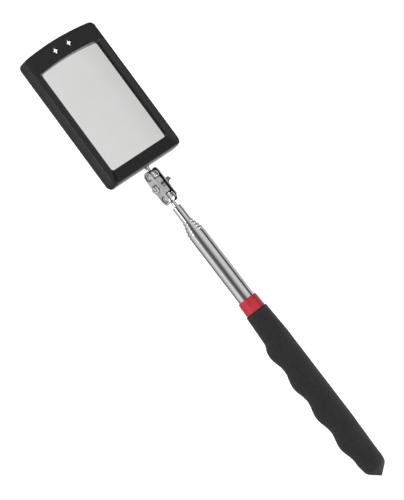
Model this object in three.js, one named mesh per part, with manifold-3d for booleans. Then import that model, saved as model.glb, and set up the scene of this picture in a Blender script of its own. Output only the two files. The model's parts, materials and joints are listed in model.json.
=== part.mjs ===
// Telescoping inspection mirror with a lighted head, as a scene graph of named meshes.
// Millimetres, +Z up. It lies on a bench: the head's flat back is at z = 0 and the grip comes down to it.
// The head points to -X and the grip to +X. Every length along X is counted from the upper ball.
import * as THREE from "three";
import { mergeVertices } from "three/addons/utils/BufferGeometryUtils.js";
import Module from "manifold-3d";

// ---------------------------------------------------------------- driving dimensions

// Head outline, seen from the front.
const HEAD_HALF_WIDTH = 26;
const HEAD_BOTTOM_X = -5.7;
const HEAD_APEX_X = -89.4;
const HEAD_ARC_RADIUS = 190;
const HEAD_CORNER = 3.5;
const HEAD_THICKNESS = 8.5;
const SEAM_Z = 3.3;
const SEAM_GAP = 0.1;
const SHELL_WALL = 1.5;
const CEILING_Z = 5; // the bezel is solid above this, apart from its pockets
const FLOOR_THICKNESS = 1.05;
const FRONT_ROUNDING = 1.2;
const BACK_ROUNDING = 0.7;
const RIM_INSET = 1.6; // the rim's crest, from which the bezel slopes down to the window

// Mirror glass, and the window that shows it.
const WINDOW_HALF_WIDTH = 21.2;
const WINDOW_BOTTOM_X = -13.55;
const WINDOW_APEX_X = -77.85;
const WINDOW_ARC_RADIUS = 170;
const WINDOW_CORNER = 1.6;
const WINDOW_EDGE_Z = 7.5;
const GLASS_LIP = 0.9;
const GLASS_FRONT_Z = 6.2;
const GLASS_THICKNESS = 1.2;
const PAD_THICKNESS = 0.25;

// Lamps, battery bay and switch.
const LED_X = -83.8;
const LED_HALF_SPACING = 5;
const LED_RADIUS = 1.5;
const LED_BASE_Z = 2.9;
const LED_HEIGHT = 5.3;
const CELL_RADIUS = 10;
const CELL_THICKNESS = 3.2;
const CELL_X = -27;
const CELL_HALF_SPACING = 10.3;
const CELL_BASE_Z = 1.2;
const DOOR_LOW_X = -14.8;
const DOOR_HIGH_X = -42;
const DOOR_HALF_WIDTH = 22.3;
const DOOR_RECESS = 0.6;
const DOOR_GAP = 0.15;
const DOOR_SCREW_X = -39.2;
const SWITCH_X = -58;
const SWITCH_TRAVEL = 2;
const SWITCH_BASE_Z = 1.15;

// Case screws.
const SCREW_LOW_X = -9.6;
const SCREW_HIGH_X = -83.2;
const SCREW_HALF_SPACING = 20.4;
const SCREW_WELL_RADIUS = 2.1;
const FRONT_POST_RADIUS = 2.3;
const BACK_POST_RADIUS = 3;

// Swivel joint.
const BALL_HEIGHT = HEAD_THICKNESS / 2;
const BALL_RADIUS = 3.2;
const BALL_SPACING = 14.4;
const BALL_GAP = 0.12;
const SHANK_RADIUS = 1.3;
const RUNNING_GAP = 0.12;
const PLATE_THICKNESS = 1;
const PLATE_INNER_Y = 2.6;
const PLATE_HALF_HEIGHT = 3.4;
const CLAMP_X = BALL_SPACING / 2;
const SEAT_HOLE_RADIUS = 2.08;
const FLANGE_HALF_LENGTH = 4.6;
const FLANGE_END_Y = 1.2;
const NOTCH_HALF_LENGTH = 1.4;
const NOTCH_START_Y = -1.4;
const UPPER_STUD_REACH = 10.9;
const PLUG_RADIUS = 2.15; // the lower stud's plug in the first tube
const PLUG_LENGTH = 5;
const CLAMP_HEAD_RADIUS = 2.5;
const CLAMP_HEAD_HEIGHT = 1.7;
const CLAMP_LENGTH = 13.2;

// Telescoping tubes, from the smallest to the largest. The largest is fixed in the handle.
const TUBE_RADII = [2.6, 3.15, 3.7, 4.25, 4.8];
const TUBE_FRONTS = [20.7, 30.4, 32.4, 34.35, 36.3];
const TUBE_WALL = 0.3;
const TUBE_TRAVEL = 145;
const CRIMP_LENGTH = 1.5;
const CRIMP_GAP = 0.08;
const SLEEVE_LENGTH = 5;
const MAIN_TUBE_REAR = 193;

// Handle.
const COLLAR_FRONT = 82.5;
const GRIP_FRONT = 90.7;
const GRIP_REAR = 199.9;
const GRIP_FRONT_RADIUS = 6.55;
const GRIP_SWELL = 0.78;
const GRIP_SLIMMING = 0.55;
const SHOULDER_FRONT = 191; // where the grip starts to round off to its nose
const CONE_FRONT = 195.3; // where the nose's blunt cone starts
const CONE_SLOPE = 1.21;
const CONE_TIP_RADIUS = 0.3;
const FINGER_PITCH = 20.2;
const FIRST_FINGER = 114.9;
const FINGER_RISE = 1.65;
const FINGER_WAVE = 1.18;
const WAND_TILT = THREE.MathUtils.degToRad(1.7); // lifts the handle until its grip just clears the bench

// Fineness of round shapes.
const ROUND_SIDES = 28;
const SMALL_SIDES = 12;

// ---------------------------------------------------------------- materials

const matte = (color, roughness = 0.6) => new THREE.MeshStandardMaterial({ color, roughness });
const metal = (color, roughness = 0.3) => new THREE.MeshStandardMaterial({ color, roughness, metalness: 1 });
const blackPlastic = () => matte(0x2a2928, 0.45);
const chrome = () => metal(0xc8c8ca, 0.12);
const brass = () => metal(0xc9a24a, 0.35);

// ---------------------------------------------------------------- solids

const wasm = await Module();
wasm.setup();

function solidOf(geometry) {
  const bare = geometry.clone();
  bare.deleteAttribute("normal");
  bare.deleteAttribute("uv");
  const merged = mergeVertices(bare, 1e-4);
  return new wasm.Manifold(new wasm.Mesh({
    numProp: 3,
    vertProperties: merged.attributes.position.array,
    triVerts: new Uint32Array(merged.index.array),
  }));
}

function geometryOf(solid) {
  const mesh = solid.getMesh();
  const geometry = new THREE.BufferGeometry();
  geometry.setAttribute("position", new THREE.BufferAttribute(mesh.vertProperties, 3));
  geometry.setIndex(new THREE.BufferAttribute(mesh.triVerts, 1));
  geometry.computeVertexNormals();
  return geometry;
}

const cut = (geometry, ...tools) =>
  geometryOf(tools.reduce((solid, tool) => solid.subtract(solidOf(tool)), solidOf(geometry)));

const join = (geometry, ...others) =>
  geometryOf(others.reduce((solid, other) => solid.add(solidOf(other)), solidOf(geometry)));

// A box between two corners.
function box(x0, x1, y0, y1, z0, z1) {
  const geometry = new THREE.BoxGeometry(x1 - x0, y1 - y0, z1 - z0);
  return geometry.translate((x0 + x1) / 2, (y0 + y1) / 2, (z0 + z1) / 2);
}

// A profile of [radius, height] pairs, turned about the Z axis.
function turned(profile, sides = ROUND_SIDES) {
  const points = profile.map(([radius, height]) => new THREE.Vector2(radius, height));
  return new THREE.LatheGeometry(points, sides).rotateX(Math.PI / 2);
}

// The same, turned about the X axis, with heights counted along +X.
const turnedAlongX = (profile, sides = ROUND_SIDES) => turned(profile, sides).rotateY(Math.PI / 2);

const rod = (radius, z0, z1, sides = SMALL_SIDES) =>
  turned([[0, z0], [radius, z0], [radius, z1], [0, z1]], sides);

const rodAlongX = (radius, x0, x1, sides = SMALL_SIDES) => rod(radius, x0, x1, sides).rotateY(Math.PI / 2);

const rodAlongY = (radius, y0, y1, sides = SMALL_SIDES) => rod(radius, y0, y1, sides).rotateX(-Math.PI / 2);

// A closed skin over rings that all have the same number of points, capped at both ends.
function skin(rings) {
  const count = rings[0].length;
  const positions = rings.flat().flatMap((p) => [p.x, p.y, p.z]);
  const index = [];
  for (let ring = 0; ring < rings.length - 1; ring++) {
    for (let i = 0; i < count; i++) {
      const a = ring * count + i;
      const b = ring * count + ((i + 1) % count);
      index.push(a, b, b + count, a, b + count, a + count);
    }
  }
  const last = (rings.length - 1) * count;
  for (let i = 1; i < count - 1; i++) {
    index.push(0, i + 1, i, last, last + i, last + i + 1);
  }
  const geometry = new THREE.BufferGeometry();
  geometry.setAttribute("position", new THREE.Float32BufferAttribute(positions, 3));
  return geometry.setIndex(index);
}

// ---------------------------------------------------------------- arched rectangle

const HEAD_OUTLINE = {
  halfWidth: HEAD_HALF_WIDTH,
  bottomX: HEAD_BOTTOM_X,
  apexX: HEAD_APEX_X,
  arcRadius: HEAD_ARC_RADIUS,
  corner: HEAD_CORNER,
};

const WINDOW_OUTLINE = {
  halfWidth: WINDOW_HALF_WIDTH,
  bottomX: WINDOW_BOTTOM_X,
  apexX: WINDOW_APEX_X,
  arcRadius: WINDOW_ARC_RADIUS,
  corner: WINDOW_CORNER,
};

// The crest of the slope round the window. Above the arched top there is no slope, only a step.
const TOP_STEP = 0.4;
const CREST_OUTLINE = {
  halfWidth: HEAD_HALF_WIDTH - RIM_INSET,
  bottomX: HEAD_BOTTOM_X - RIM_INSET,
  apexX: WINDOW_APEX_X - TOP_STEP,
  arcRadius: WINDOW_ARC_RADIUS + TOP_STEP,
  corner: HEAD_CORNER - RIM_INSET,
};

// The head's outline: three straight sides and an arched top, with round corners, moved inwards by
// inset. It runs anticlockwise seen from +Z, with the same number of points for every inset.
function archedRectangle(outline, inset, z) {
  const { halfWidth, bottomX, apexX, arcRadius, corner } = outline;
  const arcCentreX = apexX + arcRadius;
  const sideY = halfWidth - corner;
  const topX = arcCentreX - Math.sqrt((arcRadius - corner) ** 2 - sideY ** 2);
  const lowX = bottomX - corner;
  const shoulder = Math.atan2(sideY, arcCentreX - topX);
  const radius = corner - inset;
  const points = [];
  const arc = (x, y, r, from, to, steps) => {
    for (let i = 0; i <= steps; i++) {
      const angle = from + ((to - from) * i) / steps;
      points.push(new THREE.Vector3(x + r * Math.cos(angle), y + r * Math.sin(angle), z));
    }
  };
  arc(lowX, -sideY, radius, -Math.PI / 2, 0, 4);
  arc(lowX, sideY, radius, 0, Math.PI / 2, 4);
  arc(topX, sideY, radius, Math.PI / 2, Math.PI - shoulder, 4);
  arc(arcCentreX, 0, arcRadius - inset, Math.PI - shoulder * 0.8, Math.PI + shoulder * 0.8, 8);
  arc(topX, -sideY, radius, Math.PI + shoulder, Math.PI * 1.5, 4);
  return points;
}

// A stack of such outlines, as [inset, z] pairs from low to high.
const archedStack = (outline, levels) =>
  skin(levels.map(([inset, z]) => archedRectangle(outline, inset, z)));

// ---------------------------------------------------------------- scene graph helpers

const inspectionMirror = new THREE.Group();
const head = new THREE.Group();
const wand = new THREE.Group();

function place(group, name, geometry, material) {
  const mesh = new THREE.Mesh(geometry, material);
  mesh.name = name;
  group.add(mesh);
  return mesh;
}

// ---------------------------------------------------------------- head shells

const screwPlaces = [SCREW_LOW_X, SCREW_HIGH_X].flatMap((x) =>
  [-SCREW_HALF_SPACING, SCREW_HALF_SPACING].map((y) => [x, y]));

const INSERT_X0 = -11.2;
const INSERT_X1 = -7.6;
const INSERT_RADIUS = 2.1;

// The block that holds the stud's insert, half in each shell.
const studBlock = (z0, z1) => box(INSERT_X0 - 0.4, HEAD_BOTTOM_X - 1, -3.6, 3.6, z0, z1);

// The hollow that the stud and its insert need in both shells.
const studHollow = () =>
  join(
    rodAlongX(INSERT_RADIUS + RUNNING_GAP, INSERT_X0 - 0.15, INSERT_X1 + 0.15),
    rodAlongX(SHANK_RADIUS + 0.3, INSERT_X0, HEAD_BOTTOM_X + 1),
  ).translate(0, 0, BALL_HEIGHT);

function headBezel() {
  const low = SEAM_Z + SEAM_GAP / 2;
  const shoulderZ = HEAD_THICKNESS - FRONT_ROUNDING;
  const draft = 0.1;
  const levels = [[0, low], [draft, shoulderZ]];
  for (let step = 1; step <= 5; step++) {
    const angle = (step / 5) * (Math.PI / 2);
    const inset = draft + FRONT_ROUNDING * (1 - Math.cos(angle));
    levels.push([inset, shoulderZ + FRONT_ROUNDING * Math.sin(angle)]);
  }
  const cavity = archedStack(HEAD_OUTLINE, [[SHELL_WALL, low - 1], [SHELL_WALL, CEILING_Z]]);
  const pocketInset = -GLASS_LIP - 0.2;
  const glassPocket = archedStack(WINDOW_OUTLINE, [
    [pocketInset, CEILING_Z - 1],
    [pocketInset, GLASS_FRONT_Z + 0.05],
  ]);
  const windowHole = skin([
    archedRectangle(WINDOW_OUTLINE, 0, GLASS_FRONT_Z - 1),
    archedRectangle(WINDOW_OUTLINE, 0, WINDOW_EDGE_Z),
    archedRectangle(CREST_OUTLINE, 0, HEAD_THICKNESS),
    archedRectangle(CREST_OUTLINE, 0, HEAD_THICKNESS + 1),
  ]);
  const ledHoles = [-LED_HALF_SPACING, LED_HALF_SPACING].map((y) =>
    rod(LED_RADIUS + 0.25, CEILING_Z - 1, HEAD_THICKNESS + 1, 24).translate(LED_X, y, 0));
  const posts = screwPlaces.map(([x, y]) => rod(FRONT_POST_RADIUS, low, CEILING_Z + 0.2).translate(x, y, 0));
  const screwHoles = screwPlaces.map(([x, y]) => rod(1.05, low - 1, 6.6, 12).translate(x, y, 0));
  const shell = cut(archedStack(HEAD_OUTLINE, levels), cavity, glassPocket, windowHole, ...ledHoles);
  const braced = join(shell, ...posts, studBlock(low, CEILING_Z + 0.2));
  return cut(braced, ...screwHoles, studHollow());
}

function headBackCover() {
  const high = SEAM_Z - SEAM_GAP / 2;
  const shell = archedStack(HEAD_OUTLINE, [
    [BACK_ROUNDING, 0],
    [BACK_ROUNDING * 0.3, BACK_ROUNDING * 0.3],
    [0, BACK_ROUNDING],
    [0, high],
  ]);
  const cavity = archedStack(HEAD_OUTLINE, [[SHELL_WALL, FLOOR_THICKNESS], [SHELL_WALL, high + 1]]);
  const posts = screwPlaces.map(([x, y]) => rod(BACK_POST_RADIUS, 0.5, high).translate(x, y, 0));
  const doorBoss = rod(3.6, 0.9, high).translate(DOOR_SCREW_X, 0, 0);
  const wells = screwPlaces.map(([x, y]) => rod(SCREW_WELL_RADIUS, -1, 1.6).translate(x, y, 0));
  const screwHoles = screwPlaces.map(([x, y]) => rod(1.15, 0, high + 1, 12).translate(x, y, 0));
  const doorRecess = box(DOOR_HIGH_X, DOOR_LOW_X, -DOOR_HALF_WIDTH, DOOR_HALF_WIDTH, -1, DOOR_RECESS);
  const bayHalfLength = CELL_RADIUS + 0.4;
  const bayHalfWidth = CELL_HALF_SPACING + CELL_RADIUS + 0.4;
  const bay = box(CELL_X - bayHalfLength, CELL_X + bayHalfLength, -bayHalfWidth, bayHalfWidth, 0, 2);
  const doorScrewWell = rod(2.6, 0, 1.15).translate(DOOR_SCREW_X, 0, 0);
  const doorScrewHole = rod(0.95, 0, high + 1, 12).translate(DOOR_SCREW_X, 0, 0);
  const fingerHollow = box(SWITCH_X - 6, SWITCH_X + 6, -3.2, 3.2, -1, 0.6);
  const knobSlot = box(SWITCH_X - 2.8, SWITCH_X + 2.8, -1.35, 1.35, 0, 2);
  const braced = join(cut(shell, cavity), ...posts, doorBoss, studBlock(0.5, high));
  const pockets = [doorRecess, bay, doorScrewWell, doorScrewHole, fingerHollow, knobSlot];
  return cut(braced, ...wells, ...screwHoles, ...pockets, studHollow());
}

place(head, "head_bezel", headBezel(), blackPlastic());
place(head, "head_back_cover", headBackCover(), blackPlastic());

const studInsert = cut(
  rodAlongX(INSERT_RADIUS, INSERT_X0, INSERT_X1),
  rodAlongX(SHANK_RADIUS + RUNNING_GAP, INSERT_X0 - 1, INSERT_X1 + 1),
);
place(head, "stud_insert", studInsert, brass()).position.z = BALL_HEIGHT;

// ---------------------------------------------------------------- screws

// A screw along +Z, with its head's top at z = 0 and a crossed recess in it.
function crossScrew(headRadius, headHeight, shankRadius, length) {
  const rim = 0.2;
  const body = turned([
    [0, 0],
    [headRadius - rim, 0],
    [headRadius, rim],
    [headRadius, headHeight],
    [shankRadius, headHeight],
    [shankRadius, length - 0.6],
    [shankRadius * 0.4, length],
    [0, length],
  ], SMALL_SIDES);
  const reach = headRadius * 0.6;
  const depth = headHeight * 0.5;
  const barHalf = headRadius * 0.14;
  const barX = box(-reach, reach, -barHalf, barHalf, -1, depth);
  const barY = box(-barHalf, barHalf, -reach, reach, -1, depth);
  return cut(body, barX, barY);
}

screwPlaces.forEach(([x, y], i) => {
  const screw = place(head, `case_screw_${i + 1}`, crossScrew(1.85, 1.1, 0.9, 5.9), metal(0x4a4a4c, 0.4));
  screw.position.set(x, y, 0.4);
});

// ---------------------------------------------------------------- mirror

const glassBack = GLASS_FRONT_Z - GLASS_THICKNESS;
const glassPlate = archedStack(WINDOW_OUTLINE, [[-GLASS_LIP, glassBack], [-GLASS_LIP, GLASS_FRONT_Z]]);
place(head, "mirror_glass", glassPlate, metal(0xe8e8e8, 0.03));

const padTop = glassBack - 0.05;
const padPlate = archedStack(WINDOW_OUTLINE, [[1, padTop - PAD_THICKNESS], [1, padTop]]);
place(head, "mirror_backing_pad", padPlate, matte(0x3a3a3a, 0.9));

// ---------------------------------------------------------------- lamps

function led() {
  const domeBase = LED_BASE_Z + LED_HEIGHT - LED_RADIUS;
  const rim = LED_RADIUS + 0.4;
  const profile = [[0, LED_BASE_Z], [rim, LED_BASE_Z], [rim, LED_BASE_Z + 1], [LED_RADIUS, LED_BASE_Z + 1]];
  for (let step = 0; step < 4; step++) {
    const angle = (step / 4) * (Math.PI / 2);
    profile.push([LED_RADIUS * Math.cos(angle), domeBase + LED_RADIUS * Math.sin(angle)]);
  }
  profile.push([0, domeBase + LED_RADIUS]);
  return turned(profile, 20);
}

const LED_BOARD_TOP = LED_BASE_Z - 0.1;
place(head, "led_left", led(), matte(0xf4f6f8, 0.1)).position.set(LED_X, -LED_HALF_SPACING, 0);
place(head, "led_right", led(), matte(0xf4f6f8, 0.1)).position.set(LED_X, LED_HALF_SPACING, 0);
const BOARD_EDGE_X = LED_X + 4.3;
const board = box(LED_X - 3.1, BOARD_EDGE_X, -14, 14, LED_BOARD_TOP - 1, LED_BOARD_TOP);
place(head, "led_board", board, matte(0x1f6b3a, 0.5));
const resistor = box(LED_X - 0.7, LED_X + 0.9, -1.6, 1.6, LED_BOARD_TOP + 0.1, LED_BOARD_TOP + 0.7);
place(head, "led_resistor", resistor, matte(0x1b1b1b, 0.4));

// ---------------------------------------------------------------- batteries and their door

function coinCell() {
  const r = CELL_RADIUS;
  const h = CELL_THICKNESS;
  const profile = [[0, 0], [r - 1.2, 0], [r - 1.1, 0.35], [r, 0.6], [r, h - 0.2], [r - 0.2, h], [0, h]];
  return turned(profile, 28);
}

const cellMetal = () => metal(0xb9bbbd, 0.3);
place(head, "battery_1", coinCell(), cellMetal()).position.set(CELL_X, -CELL_HALF_SPACING, CELL_BASE_Z);
place(head, "battery_2", coinCell(), cellMetal()).position.set(CELL_X, CELL_HALF_SPACING, CELL_BASE_Z);

const contactLow = CELL_BASE_Z + CELL_THICKNESS + 0.07;
const contactHigh = contactLow + 0.15;
const bridgeHigh = CELL_BASE_Z - 0.08;
place(head, "contact_positive", box(-40.5, -22, -16, -8, contactLow, contactHigh), brass());
place(head, "contact_negative", box(-40.5, -22, 8, 16, contactLow, contactHigh), brass());
place(head, "contact_bridge", box(-31, -23, -18, 18, bridgeHigh - 0.2, bridgeHigh), brass());

function batteryDoor() {
  const halfWidth = DOOR_HALF_WIDTH - DOOR_GAP;
  const plate = box(DOOR_HIGH_X + DOOR_GAP, DOOR_LOW_X - DOOR_GAP, -halfWidth, halfWidth, 0.08, 0.5);
  const reach = CELL_RADIUS + 0.1;
  const plugHalfWidth = CELL_HALF_SPACING + CELL_RADIUS + 0.1;
  const plugTop = CELL_BASE_Z - 0.35;
  const plug = box(CELL_X - reach, CELL_X + reach, -plugHalfWidth, plugHalfWidth, 0.3, plugTop);
  const boss = rod(2.4, 0.3, 1.05).translate(DOOR_SCREW_X, 0, 0);
  const screwWell = rod(1.8, -1, 0.75).translate(DOOR_SCREW_X, 0, 0);
  const screwHole = rod(0.95, 0, 2, 12).translate(DOOR_SCREW_X, 0, 0);
  const thumbNotch = rod(4, -1, 0.35).translate(DOOR_LOW_X - 5.5, 0, 0);
  return cut(join(plate, plug, boss), screwWell, screwHole, thumbNotch);
}

place(head, "battery_door", batteryDoor(), blackPlastic());
place(head, "battery_door_screw", crossScrew(1.6, 0.5, 0.8, 2.7), metal(0x4a4a4c, 0.4))
  .position.set(DOOR_SCREW_X, 0, 0.18);

// ---------------------------------------------------------------- switch

const switchHalfSlot = SWITCH_TRAVEL / 2 + 1.2;
const switchBody = cut(
  box(-5, 5, -2.4, 2.4, SWITCH_BASE_Z, SWITCH_BASE_Z + 3.2),
  box(-switchHalfSlot, switchHalfSlot, -0.8, 0.8, 0, SWITCH_BASE_Z + 1.4),
);
place(head, "switch_body", switchBody, metal(0x9a9a9a, 0.4)).position.x = SWITCH_X;

// The knob rests at the end nearer the ball, off, and slides towards the lamps to switch them on.
const knobRibs = [-0.7, 0, 0.7].map((x) => box(x - 0.15, x + 0.15, -2, 2, 0, 0.35));
const switchKnob = cut(
  join(box(-1.4, 1.4, -1.1, 1.1, 0.15, 1), box(-0.9, 0.9, -0.6, 0.6, 0.8, SWITCH_BASE_Z + 1.2)),
  ...knobRibs,
);
place(head, "switch_knob", switchKnob, matte(0x1c1c1c, 0.5)).position.x = SWITCH_X + SWITCH_TRAVEL / 2;

// ---------------------------------------------------------------- wires

const WIRE_RADIUS = 0.5;

function wire(points) {
  const route = new THREE.CatmullRomCurve3(points.map(([x, y, z]) => new THREE.Vector3(x, y, z)));
  const section = new THREE.Shape();
  for (let i = 0; i < 8; i++) {
    const angle = (i / 8) * Math.PI * 2;
    const move = i ? "lineTo" : "moveTo";
    section[move](WIRE_RADIUS * Math.cos(angle), WIRE_RADIUS * Math.sin(angle));
  }
  section.closePath();
  return new THREE.ExtrudeGeometry(section, { extrudePath: route, steps: 14, bevelEnabled: false });
}

const boardEnd = BOARD_EDGE_X + 0.4;
const redRoute = [[-41.2, -12, 4.1], [-45, -11, 3.4], [-49, -6, 2.9], [-52.6, -1.2, 3.4]];
const whiteRoute = [[-63.4, -1.2, 3.4], [-68, -5, 2.9], [-73, -9, 2.6], [boardEnd, -9.5, 2.4]];
const blackRoute = [
  [-41.2, 12, 4.1], [-48, 12.5, 3.2], [-62, 13, 2.6], [-71, 11, 2.5], [boardEnd, 9.5, 2.4],
];
place(head, "wire_red", wire(redRoute), matte(0xb01818, 0.5));
place(head, "wire_white", wire(whiteRoute), matte(0xe4e4e0, 0.5));
place(head, "wire_black", wire(blackRoute), matte(0x181818, 0.5));

// ---------------------------------------------------------------- ball studs

const ball = () => new THREE.SphereGeometry(BALL_RADIUS, 20, 12);

// A stud along +X from a ball at the origin, hollowed at its tip to run just clear of the ball.
// steps are [radius, x] pairs, from the tip's rim outwards.
function ballStud(steps) {
  const reach = BALL_RADIUS + BALL_GAP;
  const seat = [0, 0.5, 1].map((share) => {
    const radius = share * SHANK_RADIUS;
    return [radius, Math.sqrt(reach ** 2 - radius ** 2)];
  });
  return turnedAlongX([...seat, ...steps], 20);
}

const upperStud = ballStud([[SHANK_RADIUS, UPPER_STUD_REACH], [0, UPPER_STUD_REACH]]);
place(head, "upper_stud", upperStud.rotateZ(Math.PI), chrome()).position.z = BALL_HEIGHT;
place(head, "upper_ball", ball(), chrome()).position.z = BALL_HEIGHT;

const plugFront = TUBE_FRONTS[0] - BALL_SPACING + 0.9;
const plugRear = plugFront + PLUG_LENGTH;
const lowerStud = ballStud([
  [SHANK_RADIUS, plugFront],
  [PLUG_RADIUS, plugFront],
  [PLUG_RADIUS, plugRear],
  [0, plugRear],
]);
place(wand, "lower_stud", lowerStud, chrome()).position.x = BALL_SPACING;
place(wand, "lower_ball", ball(), chrome()).position.x = BALL_SPACING;

// ---------------------------------------------------------------- link

// One stamped plate: a slotted oval with a seat hole over each ball and a notched flange along one
// edge. The other plate is the same stamping, turned half round the link's long axis.
function linkPlate() {
  const outerY = -PLATE_INNER_Y - PLATE_THICKNESS;
  const ends = [0, BALL_SPACING].map((x) =>
    rodAlongY(PLATE_HALF_HEIGHT, outerY, -PLATE_INNER_Y, 24).translate(x, 0, 0));
  const web = box(0, BALL_SPACING, outerY, -PLATE_INNER_Y, -PLATE_HALF_HEIGHT, PLATE_HALF_HEIGHT);
  const flangeLow = PLATE_HALF_HEIGHT - PLATE_THICKNESS;
  const flangeStart = CLAMP_X - FLANGE_HALF_LENGTH;
  const flangeEnd = CLAMP_X + FLANGE_HALF_LENGTH;
  const flange = box(flangeStart, flangeEnd, outerY, FLANGE_END_Y, flangeLow, PLATE_HALF_HEIGHT);
  const notchStart = CLAMP_X - NOTCH_HALF_LENGTH;
  const notchEnd = CLAMP_X + NOTCH_HALF_LENGTH;
  const notch = box(notchStart, notchEnd, NOTCH_START_Y, FLANGE_END_Y + 1, 0, PLATE_HALF_HEIGHT + 1);
  const seats = [0, BALL_SPACING].map((x) =>
    rodAlongY(SEAT_HOLE_RADIUS, outerY - 1, 0, 24).translate(x, 0, 0));
  const screwHole = rodAlongY(SHANK_RADIUS + RUNNING_GAP, outerY - 1, 0).translate(CLAMP_X, 0, 0);
  return cut(join(web, ...ends, flange), notch, ...seats, screwHole);
}

const plateSteel = () => metal(0xb4b4b6, 0.35);
place(wand, "link_plate_left", linkPlate(), plateSteel());
place(wand, "link_plate_right", linkPlate(), plateSteel()).rotation.x = Math.PI;

const plateOuterY = PLATE_INNER_Y + PLATE_THICKNESS;
const clampScrew = cut(
  turned([
    [0, 0], [1.7, 0], [2.3, 0.45], [CLAMP_HEAD_RADIUS, 1], [CLAMP_HEAD_RADIUS, CLAMP_HEAD_HEIGHT],
    [SHANK_RADIUS, CLAMP_HEAD_HEIGHT], [SHANK_RADIUS, CLAMP_LENGTH - 0.3],
    [SHANK_RADIUS - 0.3, CLAMP_LENGTH], [0, CLAMP_LENGTH],
  ], 20),
  box(-0.3, 0.3, -3, 3, -1, 0.8),
);
const screwMesh = place(wand, "clamp_screw", clampScrew, metal(0xd0d0d2, 0.2));
screwMesh.rotation.x = -Math.PI / 2;
screwMesh.position.set(CLAMP_X, -plateOuterY - CLAMP_HEAD_HEIGHT - 0.1, 0);

const NUT_BORE = SHANK_RADIUS + RUNNING_GAP;
const washer = cut(
  rodAlongY(2.5, 0, 0.6, 20),
  rodAlongY(NUT_BORE + 0.1, -1, 2, 20),
  box(0, 4, -1, 2, -0.25, 0.25),
);
place(wand, "clamp_washer", washer, metal(0x9c9c9e, 0.4)).position.set(CLAMP_X, plateOuterY + 0.1, 0);

const NUT_ACROSS_FLATS = 5;
const NUT_THICKNESS = 2.4;
const nut = cut(
  rodAlongY(NUT_ACROSS_FLATS / Math.sqrt(3), 0, NUT_THICKNESS, 6),
  rodAlongY(NUT_BORE, -1, NUT_THICKNESS + 1),
);
place(wand, "clamp_nut", nut, metal(0xd0d0d2, 0.25)).position.set(CLAMP_X, plateOuterY + 0.8, 0);

// ---------------------------------------------------------------- telescoping tubes

const rearOfSleeve = (i) => TUBE_FRONTS[i + 1] + TUBE_TRAVEL + CRIMP_LENGTH + 0.2 + SLEEVE_LENGTH;

// The rolled-in front end of a tube that holds a smaller one.
function crimpedTube(i, rear) {
  const front = TUBE_FRONTS[i];
  const outer = TUBE_RADII[i];
  const bore = outer - TUBE_WALL;
  const lip = TUBE_RADII[i - 1] + CRIMP_GAP;
  const lipOuter = lip + 0.12;
  const profile = [[lip, front]];
  for (let step = 0; step <= 4; step++) {
    const angle = (step / 4) * (Math.PI / 2);
    const radius = lipOuter + (outer - lipOuter) * Math.sin(angle);
    profile.push([radius, front + CRIMP_LENGTH * (1 - Math.cos(angle))]);
  }
  profile.push([outer, rear], [bore, rear], [bore, front + CRIMP_LENGTH], [lip, front + 0.7], [lip, front]);
  return turnedAlongX(profile);
}

// The smallest tube, whose closed front end holds the lower stud.
function firstTube(rear) {
  const front = TUBE_FRONTS[0];
  const outer = TUBE_RADII[0];
  const bore = outer - TUBE_WALL;
  const hole = SHANK_RADIUS + 0.15;
  return turnedAlongX([
    [hole, front],
    [outer - 0.25, front],
    [outer, front + 0.25],
    [outer, rear],
    [bore, rear],
    [bore, front + 0.7],
    [hole, front + 0.7],
    [hole, front],
  ]);
}

const ring = (inner, outer, x0, x1) =>
  turnedAlongX([[inner, x0], [outer, x0], [outer, x1], [inner, x1], [inner, x0]]);

for (let i = 0; i < 4; i++) {
  const rear = rearOfSleeve(i);
  const shape = i === 0 ? firstTube(rear + 0.2) : crimpedTube(i, rear + 0.2);
  place(wand, `tube_${i + 1}`, shape, chrome());
  const sleeve = ring(TUBE_RADII[i] + 0.05, TUBE_RADII[i] + 0.2, rear - SLEEVE_LENGTH, rear);
  place(wand, `sleeve_${i + 1}`, sleeve, brass());
}
place(wand, "main_tube", crimpedTube(4, MAIN_TUBE_REAR), chrome());

// ---------------------------------------------------------------- handle

const mainRadius = TUBE_RADII[4];
const SPIGOT_REAR = GRIP_FRONT + 9;
const collarBore = mainRadius + 0.1;
const collar = turnedAlongX([
  [collarBore, COLLAR_FRONT],
  [5.25, COLLAR_FRONT],
  [5.55, COLLAR_FRONT + 0.3],
  [5.7, COLLAR_FRONT + 0.9],
  [5.95, GRIP_FRONT - 0.5],
  [5.9, GRIP_FRONT - 0.1],
  [5.6, GRIP_FRONT - 0.1],
  [5.6, SPIGOT_REAR],
  [collarBore, SPIGOT_REAR],
  [collarBore, COLLAR_FRONT],
]);
place(wand, "collar", collar, matte(0xc8233c, 0.35));

const smooth = (low, high, x) => THREE.MathUtils.smoothstep(x, low, high);

// The grip's radius away from the fingers: it swells behind the collar, slims again towards its
// rounded shoulder and ends in a blunt cone.
function gripRadius(x) {
  const swell = GRIP_SWELL * smooth(88, 112, x) - GRIP_SLIMMING * smooth(160, SHOULDER_FRONT, x);
  const frontEdge = 1 - 0.09 * (1 - smooth(GRIP_FRONT - 0.7, GRIP_FRONT + 0.7, x));
  const along = Math.max(0, x - SHOULDER_FRONT) / (CONE_FRONT - SHOULDER_FRONT);
  const body = (GRIP_FRONT_RADIUS + swell) * frontEdge * (1 - 0.134 * along ** 2);
  return Math.min(body, CONE_TIP_RADIUS + CONE_SLOPE * (GRIP_REAR - x));
}

// How far the finger side stands out beyond that radius.
function fingerRise(x) {
  const wave = Math.cos(((x - FIRST_FINGER) / FINGER_PITCH) * Math.PI * 2);
  const fade = smooth(106.3, 111.7, x) * (1 - smooth(186, 192, x));
  return fade * (FINGER_RISE + FINGER_WAVE * wave);
}

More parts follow.
